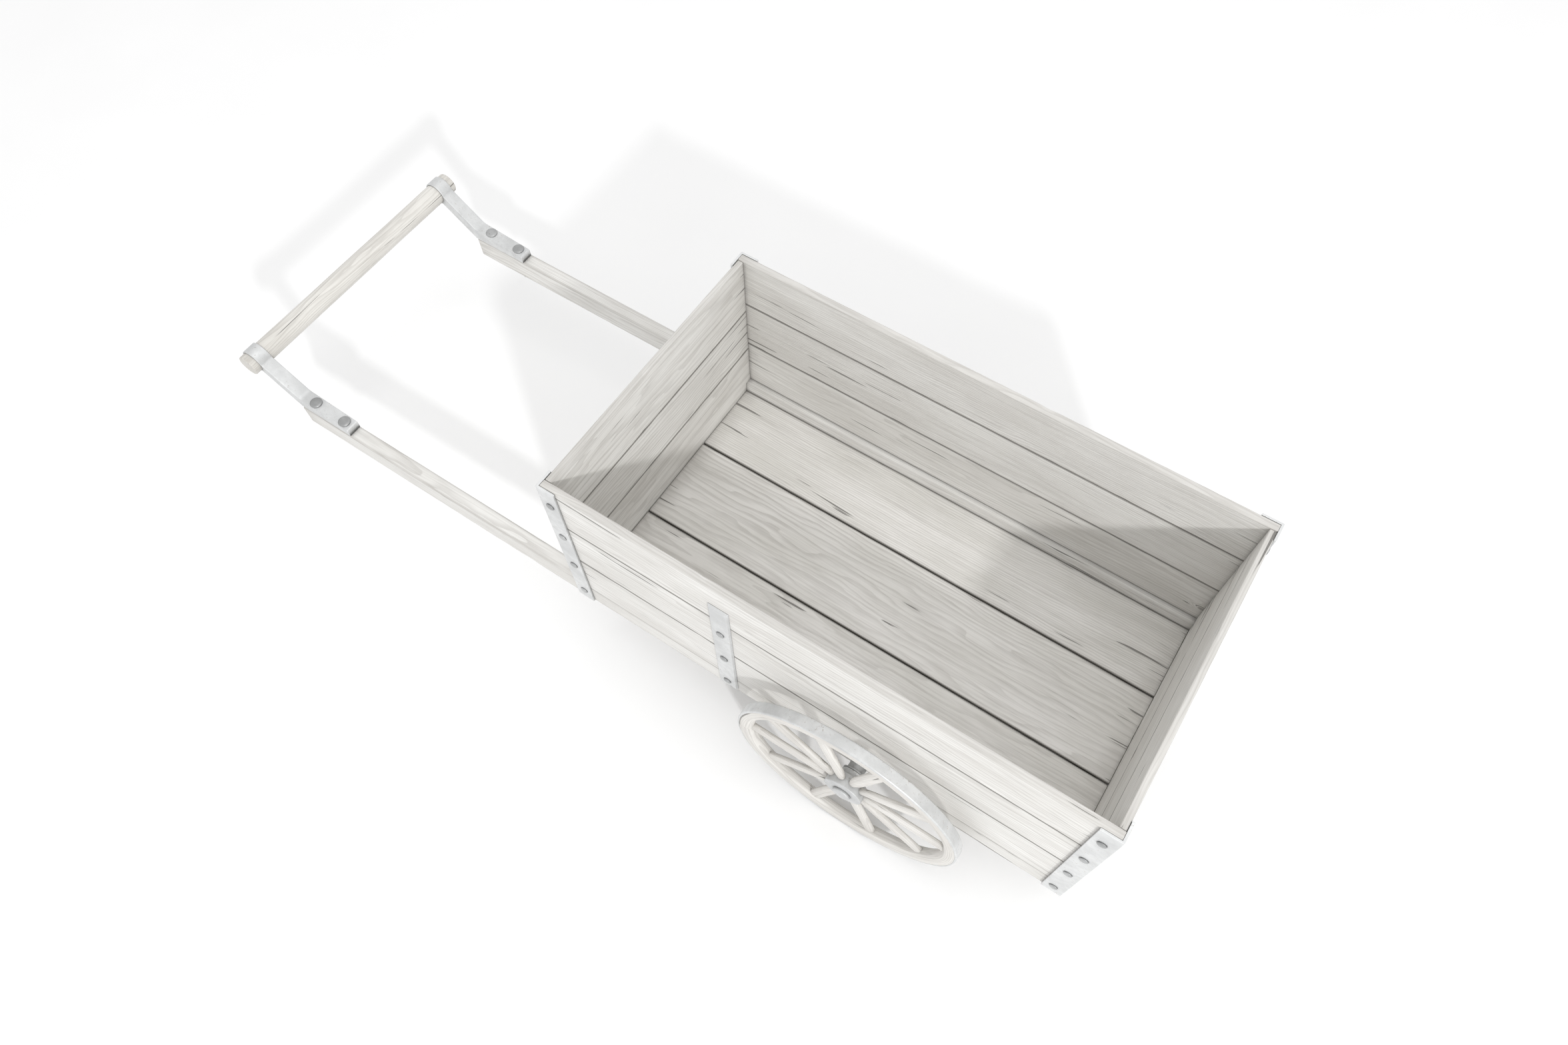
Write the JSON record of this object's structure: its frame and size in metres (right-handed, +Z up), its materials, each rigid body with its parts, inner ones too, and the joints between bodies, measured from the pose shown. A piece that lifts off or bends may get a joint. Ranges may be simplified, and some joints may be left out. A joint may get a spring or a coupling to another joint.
{
  "type": "wheelbarrow",
  "caption": "Wooden hand barrow: an open plank tray on two long shafts with a round cross handle, carried by spoked wheels with iron tyres on stub axles.",
  "frame": {"origin": "middle of the barrow's footprint, on the ground under it", "axes": "+X forward from the handle to the tray's front end, +Y to the left, +Z up"},
  "size_m": [1.8363, 0.699, 0.5951],
  "materials": {
    "side_board": "weathered, dry, fine grain",
    "end_board": "weathered, dry, fine grain",
    "floor_board": "weathered, worn by loads",
    "bearer": "rough sawn",
    "shaft": "planed, worn edges",
    "handle_bar": "turned, polished by hands",
    "handle_bracket": "forged, dull",
    "flat_iron": "dull grey, worn",
    "fastener": "dull grey",
    "axle_steel": "turned, greased",
    "spoke": "shaved, smooth",
    "felloe": "planed, smooth",
    "iron_tyre": "worn bright on the tread",
    "bush": "turned",
    "hub_iron": "cast, dull"
  },
  "bodies": {
    "frame": {"shaft_left": "shaft", "shaft_right": "shaft", "floor_plank_left": "floor_board", "floor_plank_middle": "floor_board", "floor_plank_right": "floor_board", "side_plank_left_bottom": "side_board", "side_plank_left_middle": "side_board", "side_plank_left_top": "side_board", "side_plank_right_bottom": "side_board", "side_plank_right_middle": "side_board", "side_plank_right_top": "side_board", "end_plank_rear_bottom": "end_board", "end_plank_rear_middle": "end_board", "end_plank_rear_top": "end_board", "end_plank_front_bottom": "end_board", "end_plank_front_middle": "end_board", "end_plank_front_top": "end_board", "floor_bearer_rear": "bearer", "floor_bearer_middle": "bearer", "floor_bearer_axle": "bearer", "floor_bearer_front": "bearer", "handle_bar": "handle_bar", "handle_bracket_left": "handle_bracket", "handle_bracket_right": "handle_bracket", "handle_bolts": "fastener", "handle_washers": "fastener", "handle_nuts": "fastener", "handle_grub_screws": "fastener", "corner_bracket_rear_left": "flat_iron", "corner_bracket_rear_right": "flat_iron", "corner_bracket_front_left": "flat_iron", "corner_bracket_front_right": "flat_iron", "mid_strap_left": "flat_iron", "mid_strap_right": "flat_iron", "side_flange_screws": "fastener", "end_flange_screws": "fastener", "strap_screws": "fastener", "floor_screws": "fastener", "stub_axle_left": "axle_steel", "stub_axle_right": "axle_steel", "thrust_washers": "axle_steel", "axle_nut_washers": "axle_steel", "axle_nuts": "axle_steel"},
    "wheel_left": {"hub_left": "hub_iron", "spokes_left": "spoke", "felloe_left": "felloe", "tyre_left": "iron_tyre", "hub_bush_left": "bush", "hub_cap_left": "hub_iron"},
    "wheel_right": {"hub_right": "hub_iron", "spokes_right": "spoke", "felloe_right": "felloe", "tyre_right": "iron_tyre", "hub_bush_right": "bush", "hub_cap_right": "hub_iron"}
  },
  "joints": [
    {"name": "wheel_left_turn", "type": "hinge", "parent": "frame", "child": "wheel_left", "pos_m": [0.52595, 0.3292, 0.2185], "axis": [0, 1, 0], "continuous": true},
    {"name": "wheel_right_turn", "type": "hinge", "parent": "frame", "child": "wheel_right", "pos_m": [0.52595, -0.3292, 0.2185], "axis": [0, 1, 0], "continuous": true}
  ]
}
